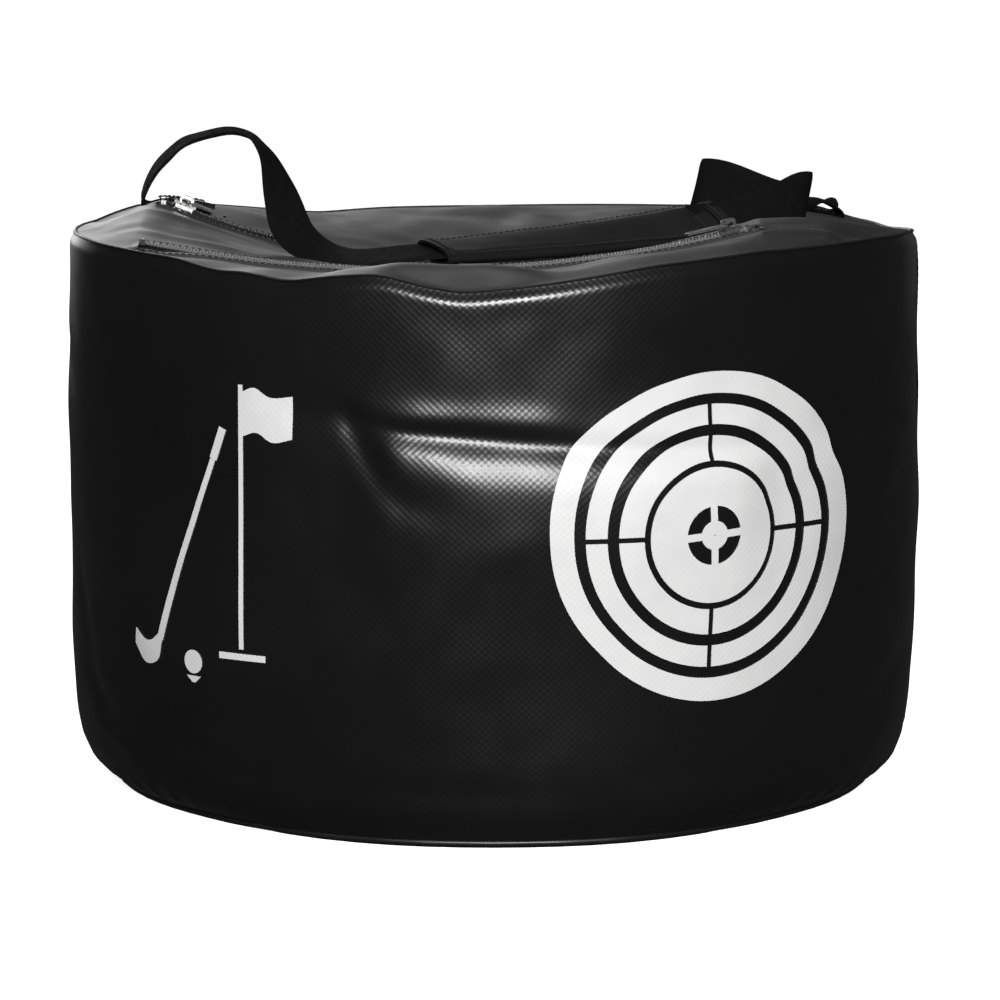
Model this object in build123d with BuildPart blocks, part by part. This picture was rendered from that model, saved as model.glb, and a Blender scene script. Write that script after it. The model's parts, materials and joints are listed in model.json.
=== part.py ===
from build123d import *
from math import atan2, cos, degrees, radians, sin, sqrt
import os

# Golf impact bag: a round stuffed drum of coated cloth, with two coil zips
# and a webbing carry strap over its sagging top.  Millimetres, +Z up, the
# origin on the floor under the drum's axis, -Y towards the player.

# ---- driving dimensions
DRUM_R = 200.0
SHEET = 1.2                      # coated cloth with its lining
WALL_FOOT_R, WALL_FOOT_Z = 191.0, 6.0
WALL_BEND_Z = 34.0
RIM_Z = 256.0                    # nominal height of the rim
CROWN_X, CROWN_RISE, CROWN_SPREAD = 160.0, 8.0, 60.0
LEVEL_FROM_X, LEVEL_OVER_X = 150.0, 45.0         # where the sag ends beside the zips
SAG_X = (-165.0, 130.0)
WELT_R = 2.4
SEAM_W, SEAM_Y, SEAM_BELOW_RIM = 24.0, 14.0, 12.0   # the wall's sewn ends, near +X

REAR_Y, FRONT_Y = 40.0, -105.0                   # the two zips
REAR_ARC = (-12.0, 238.0, 380.0)                 # the arc a zip hangs in: middle x,
FRONT_ARC = (-35.0, 248.0, 620.0)                # lowest z and radius
FLAT_BESIDE_ZIP = 12.0
SAG_REAR, SAG_FRONT = 140.0, 75.0                # from a zip to the level rim
ZIP_X = (-158.0, 116.0)
TAPE_W = 9.5                     # half of a zip, from its middle to the panel
COIL_W, COIL_T = 2.3, 1.8        # one of the two coils
STOP_L = 2.4
PARK_IN = 8.0                    # from a zip's end to its parked slider

SLIDER_L, SLIDER_W, PLATE_T, PLATE_LIFT = 11.0, 9.0, 1.2, COIL_T + 0.9
SLIDER_SHOULDER, SLIDER_TAIL_IN, SLIDER_NOSE_IN = 0.15, 1.4, 0.8
FLANGE_LIFT, FLANGE_T, FLANGE_IN, FLANGE_SHARE = 0.9, 0.9, 1.6, 0.8
BRIDGE_H, BRIDGE_W, BRIDGE_SHARE, BRIDGE_WALL = 3.6, 2.2, 0.62, 1.0
PIN_LIFT, PIN_T = PLATE_LIFT + PLATE_T + 1.1, 1.0
TAB_L, TAB_W, TAB_T, TAB_CORNER, TAB_START = 21.0, 7.6, 1.0, 1.6, -0.6
TAB_FORK, TAB_EYE_IN, TAB_EYE = 5.4, 5.4, (6.0, 3.0)

WEB_W, WEB_T = 30.0, 1.8         # webbing
ANCHOR_Y = 85.0                  # the sewn ends, folded under the strap
ANCHOR_L = 32.0
ANCHOR_X = (-154.0, 154.0)
STITCH_IN, STITCH_W, STITCH_T = 3.0, 1.0, 0.6
GRIP_W, GRIP_T, GRIP_WALL, GRIP_TILT = 36.0, 12.0, 2.0, 20.0
GRIP_ENDS = ((-26.0, -72.0, 259.5), (108.0, -12.0, 273.0))
HEM_L = 5.0

PAD_R, PAD_COUNT, PAD_GAP, PAD_TOP_Z, PAD_ROUND = 188.0, 5, 0.6, 232.0, 7.0
FLOOR_T = 1.5

TARGET_AZ, TARGET_R, TARGET_Z = 29.0, 78.0, 142.0
CLUB_AZ, CLUB_W, CLUB_H, CLUB_Z = -38.0, 80.0, 138.0, 143.0
PRINT_T, PRINT_BAND_H = 0.3, 195.0

os.makedirs("parts", exist_ok=True)


def save(part, name):
    part.label = name
    export_step(part, f"parts/{name}.step")


# ---- shape helpers
def smooth(t):
    t = min(1.0, max(0.0, t))
    return t * t * (3 - 2 * t)


def arc_height(arc, x):
    middle_x, low_z, radius = arc
    return low_z + radius - sqrt(radius**2 - (x - middle_x) ** 2)


def top_height(x, y):
    """Height of the sagging top: an arc along each zip, a nearly level rim round them."""
    rim = RIM_Z + CROWN_RISE * smooth(1 - abs(abs(x) - CROWN_X) / CROWN_SPREAD)
    ends = smooth((abs(x) - LEVEL_FROM_X) / LEVEL_OVER_X)
    behind = smooth((y - REAR_Y - FLAT_BESIDE_ZIP) / SAG_REAR)
    ahead = smooth((FRONT_Y - FLAT_BESIDE_ZIP - y) / SAG_FRONT)
    between = REAR_Y - FRONT_Y - 2 * FLAT_BESIDE_ZIP
    share = smooth((y - FRONT_Y - FLAT_BESIDE_ZIP) / between)
    inner_x = max(SAG_X[0], min(SAG_X[1], x))
    sag = (1 - share) * arc_height(FRONT_ARC, inner_x) + share * arc_height(REAR_ARC, inner_x)
    level = 1 - (1 - ends) * (1 - max(behind, ahead))
    return (1 - level) * sag + level * rim


def top_face():
    steps = 20
    reach = DRUM_R + 12
    places = [-reach + 2 * reach * i / steps for i in range(steps + 1)]
    grid = [[Vector(x, y, top_height(x, y)) for y in places] for x in places]
    return Face.make_surface_from_array_of_points(grid)


TOP = top_face()


def top_layer(lift, thick, radius, inner=0.0, x_span=None, y_span=None):
    """A layer lying on the top sheet, cut to a disc or ring and to x and y spans."""
    low_x, high_x = x_span or (-300.0, 300.0)
    low_y, high_y = y_span or (-300.0, 300.0)
    with BuildPart() as layer:
        extrude(TOP.moved(Location((0, 0, lift))), amount=thick, dir=(0, 0, 1))
        with BuildSketch(Plane.XY.offset(150)):
            Circle(radius)
            if inner:
                Circle(inner, mode=Mode.SUBTRACT)
            with Locations(((low_x + high_x) / 2, (low_y + high_y) / 2)):
                Rectangle(high_x - low_x, high_y - low_y, mode=Mode.INTERSECT)
        extrude(amount=200, mode=Mode.INTERSECT)
    return layer.part


# ---- the drum's skin
def bottom_panel():
    with BuildPart() as panel:
        Cylinder(WALL_FOOT_R, FLOOR_T, align=(Align.CENTER, Align.CENTER, Align.MIN))
    return panel.part


def bottom_welt():
    with BuildPart() as welt:
        with BuildSketch(Plane.XZ):
            with Locations((WALL_FOOT_R - WELT_R, FLOOR_T + WELT_R)):
                Circle(WELT_R - 0.2)
        revolve(axis=Axis.Z)
    return welt.part


def wall_band(inset, thick, low_z):
    """The wall's full-height band; its top is cut later along the rim."""
    r = DRUM_R - inset
    foot = WALL_FOOT_R - inset
    with BuildPart() as band:
        with BuildSketch(Plane.XZ):
            with BuildLine():
                bend = Spline(
                    (foot, low_z), (r, WALL_BEND_Z + low_z), tangents=((0.5, 1), (0, 1))
                )
                Polyline(
                    bend @ 1, (r, 295), (r - thick, 295), (r - thick, WALL_BEND_Z + low_z)
                )
                Spline(
                    (r - thick, WALL_BEND_Z + low_z),
                    (foot - thick, low_z),
                    tangents=((0, -1), (-0.5, -1)),
                )
                Line((foot - thick, low_z), (foot, low_z))
            make_face()
        revolve(axis=Axis.Z)
    return band.part


def side_wall():
    with BuildPart() as wall:
        add(wall_band(0, SHEET, WALL_FOOT_Z))
        extrude(
            TOP.moved(Location((0, 0, -WELT_R * 2))), amount=-300, dir=(0, 0, 1),
            mode=Mode.INTERSECT,
        )
    return wall.part


def side_seam():
    """The overlap where the wall's ends are sewn together, near +X."""
    with BuildPart() as seam:
        with BuildSketch(Plane.XY.offset(WALL_FOOT_Z + WALL_BEND_Z)):
            Circle(DRUM_R + SHEET)
            Circle(DRUM_R, mode=Mode.SUBTRACT)
            with Locations((DRUM_R, SEAM_Y)):
                Rectangle(SEAM_W * 2, SEAM_W, mode=Mode.INTERSECT)
        extrude(amount=RIM_Z - SEAM_BELOW_RIM - WALL_FOOT_Z - WALL_BEND_Z)
    return seam.part


def wall_print(outline, azimuth, height):
    """A film on the wall, cut to an outline drawn as seen from outside."""
    turn = radians(azimuth)
    out = Vector(sin(turn), -cos(turn), 0)
    face = Plane(origin=(0, 0, height), x_dir=(cos(turn), sin(turn), 0), z_dir=out)
    with BuildPart() as film:
        with BuildSketch(Plane.XY.offset(WALL_FOOT_Z + WALL_BEND_Z + 1)):
            Circle(DRUM_R + PRINT_T)
            Circle(DRUM_R, mode=Mode.SUBTRACT)
        extrude(amount=PRINT_BAND_H)
        with BuildSketch(face):
            outline()
        extrude(amount=DRUM_R + 5, mode=Mode.INTERSECT)
    return film.part


# ---- zips
def zip_tape(y, side):
    near, far = sorted((y, y + side * TAPE_W))
    return top_layer(0, SHEET, DRUM_R - 3, y_span=(near, far))


def zip_coil(y, side):
    near, far = sorted((y + side * 0.1, y + side * COIL_W))
    return top_layer(SHEET, COIL_T, DRUM_R, x_span=ZIP_X, y_span=(near, far))


def zip_stops(y):
    half = COIL_W + 0.6
    with BuildPart() as stops:
        for x, way in ((ZIP_X[0], -1), (ZIP_X[1], 1)):
            near, far = sorted((x, x + way * STOP_L))
            add(top_layer(SHEET, COIL_T + 0.8, DRUM_R, x_span=(near, far), y_span=(y - half, y + half)))
    return stops.part


def arc_plane(arc, x, y, way, lift):
    """A plane on a zip's arc: its x runs along the zip, its z away from the bag."""
    middle_x, _, radius = arc
    tilt = (x - middle_x) / radius
    up = Vector(-tilt, 0, sqrt(1 - tilt**2))
    along = Vector(up.Z, 0, -up.X) * way
    origin = Vector(x, y, arc_height(arc, x) + SHEET) + up * lift
    return Plane(origin=origin, x_dir=along, z_dir=up)


def slider(place):
    half_l, half_w, shoulder = SLIDER_L / 2, SLIDER_W / 2, SLIDER_L * SLIDER_SHOULDER
    bridge_l = SLIDER_L * BRIDGE_SHARE
    with BuildPart() as body:
        with BuildSketch(arc_plane(*place, PLATE_LIFT)):
            with BuildLine():
                Polyline(
                    (-half_l, -half_w + SLIDER_TAIL_IN), (shoulder, -half_w),
                    (half_l, -half_w + SLIDER_NOSE_IN), (half_l, half_w - SLIDER_NOSE_IN),
                    (shoulder, half_w), (-half_l, half_w - SLIDER_TAIL_IN),
                    close=True,
                )
            make_face()
        extrude(amount=PLATE_T)
        for side in (-1, 1):
            with BuildSketch(arc_plane(*place, FLANGE_LIFT)):
                with Locations((0, side * (half_w - FLANGE_IN))):
                    Rectangle(SLIDER_L * FLANGE_SHARE, FLANGE_T)
            extrude(amount=PLATE_LIFT - FLANGE_LIFT)
        base = arc_plane(*place, PLATE_LIFT + PLATE_T)
        upright = Plane(
            origin=base.origin - base.y_dir * BRIDGE_W / 2, x_dir=base.x_dir, z_dir=base.y_dir
        )
        with BuildSketch(upright):
            with Locations((0, -BRIDGE_H / 2)):
                RectangleRounded(bridge_l, BRIDGE_H * 1.04, BRIDGE_WALL * 1.2)
            with Locations((0, -BRIDGE_H / 2 + BRIDGE_WALL * 0.8)):
                RectangleRounded(
                    bridge_l - 2 * BRIDGE_WALL, BRIDGE_H - BRIDGE_WALL * 1.4,
                    BRIDGE_WALL * 0.9, mode=Mode.SUBTRACT,
                )
        extrude(amount=BRIDGE_W)
    return body.part


def pull_tab(place):
    """A flat pull whose fork holds a cross pin under the slider's bridge."""
    fork_w = BRIDGE_W + PIN_T
    fork_middle = TAB_START + (TAB_FORK + 1.0) / 2
    with BuildPart() as tab:
        with BuildSketch(arc_plane(*place, PIN_LIFT - TAB_T / 2)):
            with Locations((TAB_L / 2 + TAB_START, 0)):
                RectangleRounded(TAB_L, TAB_W, TAB_CORNER)
            with Locations((fork_middle, 0)):
                Rectangle(TAB_FORK + 2 * PIN_T, fork_w, mode=Mode.SUBTRACT)
            with Locations((TAB_L - TAB_EYE_IN, 0)):
                SlotOverall(*TAB_EYE, mode=Mode.SUBTRACT)
            Rectangle(PIN_T, fork_w)
        extrude(amount=TAB_T)
    return tab.part


# ---- carry strap
def ribbon(start, end, heights, width):
    """Webbing over a curve of (distance, height) pairs, from start to end in plan."""
    run = Vector(end[0] - start[0], end[1] - start[1], 0)
    along = run.normalized()
    side = Vector(along.Y, -along.X, 0)
    plane = Plane(origin=(start[0], start[1], 0), x_dir=along, z_dir=side)
    with BuildPart() as band:
        with BuildSketch(plane):
            with BuildLine():
                Spline(*[(share * run.length, z) for share, z in heights])
            trace(line_width=WEB_T)
        extrude(amount=width / 2, both=True)
    return band.part


def grip_plane(shift=0.0):
    a, b = (Vector(*end) for end in GRIP_ENDS)
    along = (b - a).normalized()
    across = Vector(0, 0, 1).cross(along).normalized()
    tilt = radians(GRIP_TILT)
    wide = across * cos(tilt) + along.cross(across) * sin(tilt)
    return Plane(origin=a + along * shift, x_dir=wide, z_dir=along)


GRIP_LENGTH = (Vector(*GRIP_ENDS[1]) - Vector(*GRIP_ENDS[0])).length


def grip_tube(shift, length, grow):
    with BuildPart() as tube:
        with BuildSketch(grip_plane(shift)):
            Ellipse(GRIP_W / 2 + grow, GRIP_T / 2 + grow)
            Ellipse(GRIP_W / 2 - GRIP_WALL, GRIP_T / 2 - GRIP_WALL, mode=Mode.SUBTRACT)
        extrude(amount=length)
    return tube.part


def grip_core():
    with BuildPart() as core:
        with BuildSketch(grip_plane(2)):
            Rectangle(WEB_W - 2, WEB_T * 2)
        extrude(amount=GRIP_LENGTH - 4)
    return core.part


def anchor_patch(x):
    return top_layer(
        SHEET, WEB_T, DRUM_R - 4,
        x_span=(x - ANCHOR_L / 2, x + ANCHOR_L / 2),
        y_span=(ANCHOR_Y - WEB_W / 2, ANCHOR_Y + WEB_W / 2),
    )


def anchor_stitching(x):
    reach_x, reach_y = ANCHOR_L / 2 - STITCH_IN, WEB_W / 2 - STITCH_IN
    with BuildPart() as stitches:
        for row_x in (x - reach_x, x + reach_x):
            add(
                top_layer(
                    SHEET + WEB_T, STITCH_T, DRUM_R - 6,
                    x_span=(row_x - STITCH_W / 2, row_x + STITCH_W / 2),
                    y_span=(ANCHOR_Y - reach_y, ANCHOR_Y + reach_y),
                )
            )
    return stitches.part


def stuffing(index):
    step = (PAD_TOP_Z - FLOOR_T - PAD_GAP) / PAD_COUNT
    low = FLOOR_T + PAD_GAP + index * step
    with BuildPart() as pad:
        with BuildSketch(Plane.XY.offset(low)):
            Circle(PAD_R if index else WALL_FOOT_R - 8)
        extrude(amount=step - PAD_GAP)
        fillet(pad.edges(), radius=PAD_ROUND)
    return pad.part


# ---- build
save(bottom_panel(), "bottom_panel")
save(bottom_welt(), "bottom_welt")
save(side_wall(), "side_wall")
save(side_seam(), "side_seam_strip")
save(top_layer(-WELT_R * 2 + 0.4, WELT_R * 2, DRUM_R + 0.8, inner=DRUM_R - 3), "top_welt")
PANELS = {
    "top_panel_rear": (REAR_Y + TAPE_W, 250.0),
    "top_panel_centre": (FRONT_Y + TAPE_W, REAR_Y - TAPE_W),
    "top_panel_front": (-250.0, FRONT_Y - TAPE_W),
}
for panel_name, panel_span in PANELS.items():
    save(top_layer(0, SHEET, DRUM_R - 3, y_span=panel_span), panel_name)

ZIPS = {
    "rear_zip": (REAR_ARC, ZIP_X[0] + PARK_IN, REAR_Y, 1),
    "front_zip": (FRONT_ARC, ZIP_X[1] - PARK_IN, FRONT_Y, -1),
}
for zip_name, parked in ZIPS.items():
    zip_y = parked[2]
    for side_name, side in (("far", 1), ("near", -1)):
        save(zip_tape(zip_y, side), f"{zip_name}_tape_{side_name}")
        save(zip_coil(zip_y, side), f"{zip_name}_coil_{side_name}")
    save(zip_stops(zip_y), f"{zip_name}_end_stops")
    save(slider(parked), f"{zip_name}_slider")
    save(pull_tab(parked), f"{zip_name}_pull_tab")

LEFT_LOOP = [
    (0.0, 275.0), (0.10, 292.0), (0.27, 303.0), (0.45, 293.0), (0.60, 268.0),
    (0.78, 259.5), (1.0, 259.5),
]
RIGHT_BOW = [(0.0, 274.0), (0.22, 282.0), (0.48, 291.0), (0.78, 289.0), (1.0, 279.0)]
save(ribbon((-160, 68), (-44, -55), LEFT_LOOP, WEB_W), "strap_left")
save(ribbon((119, -3), (156, 66), RIGHT_BOW, WEB_W), "strap_right")
save(grip_tube(HEM_L, GRIP_LENGTH - 2 * HEM_L, 0), "grip_sleeve")
save(grip_tube(0, HEM_L, 0.8), "grip_hem_left")
save(grip_tube(GRIP_LENGTH - HEM_L, HEM_L, 0.8), "grip_hem_right")
save(grip_core(), "grip_webbing_core")

for side_name, anchor_x in zip(("left", "right"), ANCHOR_X):
    save(anchor_patch(anchor_x), f"anchor_patch_{side_name}")
    save(anchor_stitching(anchor_x), f"anchor_stitching_{side_name}")

save(wall_print(lambda: Circle(TARGET_R), TARGET_AZ, TARGET_Z), "print_target")
save(wall_print(lambda: Rectangle(CLUB_W, CLUB_H), CLUB_AZ, CLUB_Z), "print_club")
for pad_index in range(PAD_COUNT):
    save(stuffing(pad_index), f"stuffing_pad_{pad_index + 1}")

for zip_name, parked in ZIPS.items():
    middle_x, low_z, radius = parked[0]
    tilts = [degrees(atan2(x - middle_x, sqrt(radius**2 - (x - middle_x) ** 2)))
             for x in (ZIP_X[0] + PARK_IN, ZIP_X[1] - PARK_IN)]
    print(zip_name, "turns about x", middle_x, "z", low_z + radius + SHEET, "tilts", tilts)
    print(zip_name, "pull pin at", tuple(arc_plane(*parked, PIN_LIFT).origin))
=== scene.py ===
import bpy
import json
import math
import numpy as np
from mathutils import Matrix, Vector


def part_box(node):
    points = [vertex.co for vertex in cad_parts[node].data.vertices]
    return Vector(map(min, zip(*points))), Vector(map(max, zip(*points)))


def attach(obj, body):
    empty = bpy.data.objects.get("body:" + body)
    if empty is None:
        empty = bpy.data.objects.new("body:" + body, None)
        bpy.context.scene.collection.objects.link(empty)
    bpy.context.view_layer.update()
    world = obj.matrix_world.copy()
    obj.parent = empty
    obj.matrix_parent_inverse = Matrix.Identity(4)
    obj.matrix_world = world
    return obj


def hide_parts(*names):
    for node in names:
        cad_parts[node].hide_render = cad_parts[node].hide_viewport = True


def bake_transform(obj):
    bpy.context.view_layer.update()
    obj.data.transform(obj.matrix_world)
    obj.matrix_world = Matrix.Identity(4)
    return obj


# A round golf impact bag: glossy embossed wall, sagging satin top with two coil
# zips, webbing carry strap, white prints.  Shapes are worked out in millimetres
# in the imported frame; azimuth 0 faces -Y and grows towards +X, in degrees.

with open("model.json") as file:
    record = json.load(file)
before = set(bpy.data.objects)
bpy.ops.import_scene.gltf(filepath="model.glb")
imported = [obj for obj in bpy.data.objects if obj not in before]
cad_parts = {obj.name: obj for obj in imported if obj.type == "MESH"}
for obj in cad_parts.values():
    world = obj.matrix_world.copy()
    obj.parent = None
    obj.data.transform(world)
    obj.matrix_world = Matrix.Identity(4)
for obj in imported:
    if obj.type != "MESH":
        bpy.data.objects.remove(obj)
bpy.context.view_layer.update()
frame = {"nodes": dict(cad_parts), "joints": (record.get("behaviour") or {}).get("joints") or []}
MM = 0.001

# ---- places read from the frame
JOINT = {j["name"]: j for j in frame["joints"]}
SHEET = 1.2  # thickness of the coated cloth


def box_mm(node):
    low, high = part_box(node)
    return np.array(low) * 1000, np.array(high) * 1000


def zip_arc(name, radius):
    """The arc that a zip hangs in: middle x, y, lowest z, radius."""
    x, y, z = (1000 * v for v in JOINT[name]["pos_m"])
    return x, y, z - SHEET - radius, radius


REAR = zip_arc("rear_zip_travel", 380.0)
FRONT = zip_arc("front_zip_travel", 620.0)
ZIP_LOW, ZIP_HIGH = box_mm("rear_zip_coil_far")
ZIP_X = (ZIP_LOW[0], ZIP_HIGH[0])  # both zips run over the same X
TAPE_W = 9.5  # from a zip's middle to the panel edge sewn to it
FLAT = 12.0  # the top stays level across a zip this far to each side
DRUM_R = box_mm("side_wall")[1][1]
TOP_R = DRUM_R - 3.0  # where the top panels end, just inside the seam


# ---- shape functions, on arrays in millimetres
def smooth(t):
    t = np.clip(t, 0.0, 1.0)
    return t * t * (3 - 2 * t)


def gauss(d):
    return np.exp(-d * d)


def around(points, blur):
    """A smooth function of azimuth from (azimuth, value) points round the drum."""
    az, value = np.array(sorted(points), float).T
    fine = np.arange(-180.0, 180.0, 0.5)
    table = np.interp(fine, az, value, period=360.0)
    reach = np.arange(-40, 41) * 0.5
    weight = gauss(reach / blur)
    table = np.convolve(np.concatenate([table[-40:], table, table[:40]]), weight / weight.sum(), "valid")
    return lambda a: np.interp(a, fine, table, period=360.0)


# height of the seam between wall and top, and how far the top swells above it
SEAM_Z = around(
    [(-104, 259.6), (-88, 260.2), (-74, 260.6), (-60, 259.7), (-46, 258.4),
     (-38, 254), (-34, 254.7), (-27, 251.2),
     (-21.7, 254.2), (-14.5, 256.3), (-9.7, 251.9), (-4, 248.4), (3, 250.8), (7.5, 252.4),
     (14.8, 256), (21, 259.2), (36, 262.9), (60, 263.5), (78, 262), (96, 258),
     (105, 255.8), (111, 257), (117, 257.4), (127, 261.5),
     (151, 256.7), (180, 254.6), (-163, 254.3), (-153, 252.8), (-126, 263.2), (-118, 263.6), (-111, 261.6)],
    2.2,
)
BULGE = around(
    [(-90, 2), (-60, 3.5), (-40, 2), (-24, 2.5), (-18, 4), (-10, 10), (-2, 13.5), (4, 9), (8, 4),
     (14, 3), (30, 2.5), (60, 3), (90, 1.5), (120, 1), (180, 1), (-120, 1)],
    2.5,
)


def waves(seed, count, low, high):
    """Seeded plane waves: (turns round the drum, waves per mm of height, phase, share)."""
    draw = np.random.default_rng(seed)
    length = draw.uniform(low, high, count)
    turn = draw.uniform(0, math.tau, count)
    turns = np.round(np.cos(turn) * math.tau * DRUM_R / length)
    return np.stack([turns, np.sin(turn) / length, draw.uniform(0, math.tau, count), length / high], 1)


def sum_waves(table, az, z):
    total = 0
    for turns, rise, phase, share in table:
        total = total + share * np.cos(np.radians(az) * turns + math.tau * z * rise + phase)
    return total / math.sqrt(len(table))


# broad and fine unevenness of the wall and of the top
SLOW, QUICK = waves(3, 14, 70, 190), waves(8, 22, 22, 60)
TOP_SLOW, TOP_QUICK = waves(5, 14, 60, 150), waves(12, 20, 18, 45)


def arc_height(arc, x):
    middle, _, low, radius = arc
    return low + radius - np.sqrt(radius**2 - (x - middle) ** 2)


def segment(px, py, a, b):
    """Distance to a segment and the place along it, 0 to 1."""
    ax, ay, bx, by = *a, *b
    run = (bx - ax) ** 2 + (by - ay) ** 2
    t = np.clip(((px - ax) * (bx - ax) + (py - ay) * (by - ay)) / run, 0, 1)
    return np.hypot(px - ax - t * (bx - ax), py - ay - t * (by - ay)), t


def creases(px, py, table):
    """Sum of soft lines: (start, end, amount, half width), strongest mid-way."""
    total = 0
    for a, b, amount, width in table:
        d, t = segment(px, py, a, b)
        total = total + amount * gauss(d / width) * (0.35 + 0.65 * np.sin(math.pi * t))
    return total


TOP_CREASES = [
    ((-10, 188), (40, 120), 2.2, 9), ((40, 120), (95, 92), -1.6, 8), ((30, 150), (120, 140), 1.5, 10),
    ((-90, 150), (-30, 96), 1.6, 9), ((-60, 170), (10, 150), -1.4, 9), ((80, 165), (150, 95), -1.5, 9),
    ((-140, 110), (-80, 80), 1.2, 8), ((-178, -8), (-120, 8), 1.3, 8), ((-168, -60), (-105, -66), 1.6, 7),
    ((-30, -130), (36, -168), -1.8, 7), ((34, -120), (70, -150), 1.6, 7), ((-62, -165), (-18, -128), 1.4, 7),
    ((150, -40), (182, -20), -1.5, 7), ((120, -70), (168, -80), 1.4, 8), ((-60, -20), (10, -46), 1.1, 10),
    ((20, 6), (80, 20), -1.1, 10), ((-186, 50), (-150, 96), 1.4, 8),
]


END_X = 150.0  # beyond this the top climbs from the sag to the rim
SAG_X = (-165, 122)  # the zips' arcs are followed between these
CREST_DROP = 1.0
TOP_SWELL, TOP_RIPPLE = 0.9, 0.3
ROLL_W = 26  # width of the roll that falls from the swollen rim to the seam


def top_z(x, y):
    """Underside of the sagging top sheet."""
    r = np.hypot(x, y)
    az = np.degrees(np.arctan2(x, -y))
    rim_x = np.sqrt(np.maximum(TOP_R**2 - y * y, 0.0))
    rim_y = np.sqrt(np.maximum(TOP_R**2 - x * x, 0.0))
    rear_y, front_y = REAR[1] + FLAT, FRONT[1] - FLAT
    ends = smooth((np.abs(x) - END_X) / np.maximum(rim_x - END_X, 10))
    behind = smooth((y - rear_y) / np.maximum(rim_y - rear_y, 12))
    ahead = smooth((front_y - y) / np.maximum(rim_y + front_y, 8))
    share = smooth((y - FRONT[1] - FLAT) / (REAR[1] - FRONT[1] - 2 * FLAT))
    inner = np.clip(x, *SAG_X)
    sag = (1 - share) * arc_height(FRONT, inner) + share * arc_height(REAR, inner)
    level = 1 - (1 - ends) * (1 - np.maximum(behind, ahead))
    crest = SEAM_Z(az) + BULGE(az) - CREST_DROP
    z = (1 - level) * sag + level * crest
    off_zip = smooth((np.minimum(np.abs(y - REAR[1]), np.abs(y - FRONT[1])) - 10) / 16)
    free = np.maximum(off_zip, smooth((np.abs(x) - 152) / 20)) * smooth((TOP_R + 2 - r) / ROLL_W)
    z = z + free * (creases(x, y, TOP_CREASES) + TOP_SWELL * sum_waves(TOP_SLOW, x * 0.35, y))
    z = z + free * TOP_RIPPLE * sum_waves(TOP_QUICK, x * 0.3, y + 0.2 * x)
    return z - BULGE(az) * smooth((r - TOP_R + ROLL_W) / (ROLL_W + 1)) ** 1.3


def skin_z(x, y):
    """Upper side of the top sheet."""
    return top_z(x, y) + SHEET


# the wall's profile, and how far its foot rolls under at the sides and back
WALL_Z = [0, 4, 8, 16, 35, 60, 83, 130, 180, 235, 300]
WALL_R = [189.4, 190.3, 192.2, 195.6, 199.0, 200.6, 201.5, 202.4, 201.6, 200.9, 200]
TUCK_Z, TUCK_IN = [0, 4, 8, 13, 22], [12.5, 8.0, 4.2, 1.4, 0]
FINE_Z = np.linspace(0, 300, 301)
SOFTEN = 13
FINE_R = np.convolve(
    np.pad(np.interp(FINE_Z, WALL_Z, WALL_R), SOFTEN // 2, "edge"), np.ones(SOFTEN) / SOFTEN, "valid"
)


def fold(az, z, path, amount, above, below, fade):
    """A raised (or sunken) band along a path of (azimuth, height) points."""
    line = np.array(path, float)
    d = z - np.interp(az, line[:, 0], line[:, 1])
    band = gauss(d / np.where(d > 0, above, below))
    return amount * band * smooth((az - line[0, 0]) / fade) * smooth((line[-1, 0] - az) / fade)


WALL_CREASES = [
    ((-66, 194), (-46, 160), -1.6, 6), ((-46, 160), (-18, 150), -0.8, 9), ((-64, 192), (-30, 184), 0.9, 9),
    ((-96, 196), (-68, 192), -0.9, 8), ((-10, 132), (22, 140), 0.5, 9),
    ((-250, 62), (-214, 40), -1.8, 7), ((-236, 40), (-190, 24), 1.3, 7), ((-262, 110), (-238, 66), -1.4, 8),
    ((-216, 74), (-170, 60), -0.9, 10), ((-180, 44), (-120, 30), -0.9, 8), ((-60, 26), (30, 22), -0.7, 8),
    ((60, 34), (130, 30), -0.7, 8), ((200, 44), (262, 70), -1.5, 8), ((196, 26), (250, 40), 1.0, 7),
    ((170, 196), (240, 176), -0.9, 8), ((214, 168), (258, 178), 1.1, 9), ((230, 150), (262, 152), -1.0, 8),
    ((-300, 210), (-262, 190), -1.1, 9), ((284, 222), (300, 150), -0.8, 7), ((186, 40), (214, 20), -0.6, 5),
    ((340, 190), (440, 170), -1.8, 10), ((360, 150), (470, 156), 1.5, 12), ((480, 200), (560, 176), -1.6, 9),
    ((-560, 190), (-470, 168), -1.8, 10), ((-520, 150), (-430, 150), 1.4, 12),
    ((560, 60), (480, 40), -1.3, 9),
    ((-590, 80), (-500, 50), -1.4, 9), ((-420, 60), (-330, 42), -1.3, 9), ((380, 52), (450, 36), -1.2, 9),
]


# the folds round the highlight: path, amount, widths above and below, fade at the ends
WALL_FOLDS = [
    ([(-21, 194), (-12, 187.5), (0, 184), (10, 181), (26, 177), (40, 178)], -2.0, 5, 6, 7),
    ([(-21, 176), (-10, 166), (4, 160), (20, 158), (40, 163)], 4.2, 19, 44, 9),
    ([(-16, 194), (0, 192), (12, 190)], 1.0, 7, 5, 7),
    ([(42, 188), (60, 178), (76, 174)], -1.5, 7, 6, 10),
    ([(44, 172), (60, 165), (80, 162)], 1.5, 8, 14, 10),
]
CORNER_CREASE = ((-66, 194), (-40, 158))
CORNER_DEPTH, CORNER_W = 1.0, 8.0
PUCKER, PUCKERS = 0.35, 25.0  # depth, and turns round the drum, of the gathers under the seam
FOOT_PUCKER, FOOT_PUCKERS = 0.4, 18.0


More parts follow.
